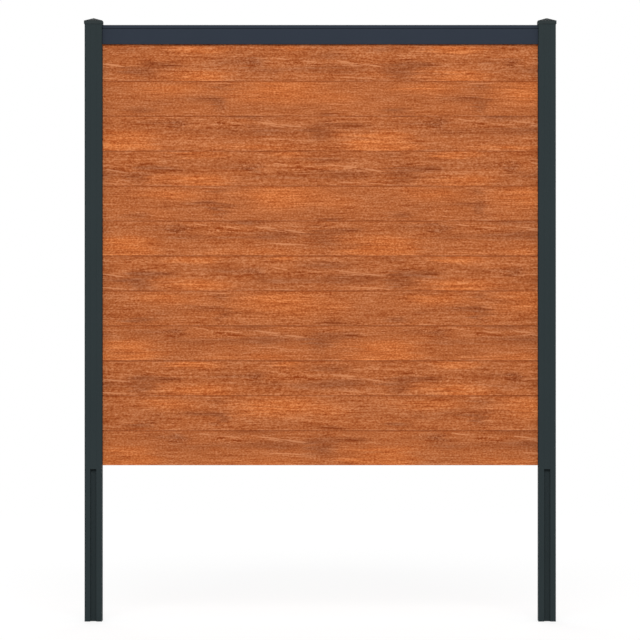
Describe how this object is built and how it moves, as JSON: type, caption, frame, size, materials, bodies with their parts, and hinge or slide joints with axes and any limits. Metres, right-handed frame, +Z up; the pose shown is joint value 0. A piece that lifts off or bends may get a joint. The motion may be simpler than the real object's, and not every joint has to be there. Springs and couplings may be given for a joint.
{
  "type": "privacy fence",
  "caption": "privacy fence bay: wood-grain tongue-and-groove boards stacked in slotted square posts with pyramid caps, under a capped top rail",
  "frame": {"origin": "on the plane of the post feet, midway between the posts, in the middle plane of the boards", "axes": "+X along the fence to the right seen from the front, +Y from the front to the back, +Z up"},
  "size_m": [1.904, 0.075, 2.4335],
  "materials": {
    "board_composite": "matte",
    "powder_coat": "satin",
    "rail_coat": "satin",
    "cap_plastic": "satin",
    "mill_aluminium": "satin",
    "seal_rubber": "matte",
    "screw_steel": "satin"
  },
  "bodies": {
    "root": {"board_01": "board_composite", "board_02": "board_composite", "board_03": "board_composite", "board_04": "board_composite", "board_05": "board_composite", "board_06": "board_composite", "board_07": "board_composite", "board_08": "board_composite", "board_09": "board_composite", "board_10": "board_composite", "board_11": "board_composite", "board_12": "board_composite", "left_post": "powder_coat", "left_post_cap": "cap_plastic", "left_rail_bracket": "mill_aluminium", "left_board_stop": "mill_aluminium", "left_front_slot_strip": "powder_coat", "left_back_slot_strip": "powder_coat", "left_outer_slot_strip": "powder_coat", "left_front_seal": "seal_rubber", "left_back_seal": "seal_rubber", "right_post": "powder_coat", "right_post_cap": "cap_plastic", "right_rail_bracket": "mill_aluminium", "right_board_stop": "mill_aluminium", "right_front_slot_strip": "powder_coat", "right_back_slot_strip": "powder_coat", "right_outer_slot_strip": "powder_coat", "right_front_seal": "seal_rubber", "right_back_seal": "seal_rubber", "top_rail": "rail_coat", "top_rail_cover": "rail_coat", "rail_bracket_screws": "screw_steel", "board_stop_screws": "screw_steel", "top_rail_screws": "screw_steel"}
  },
  "joints": []
}
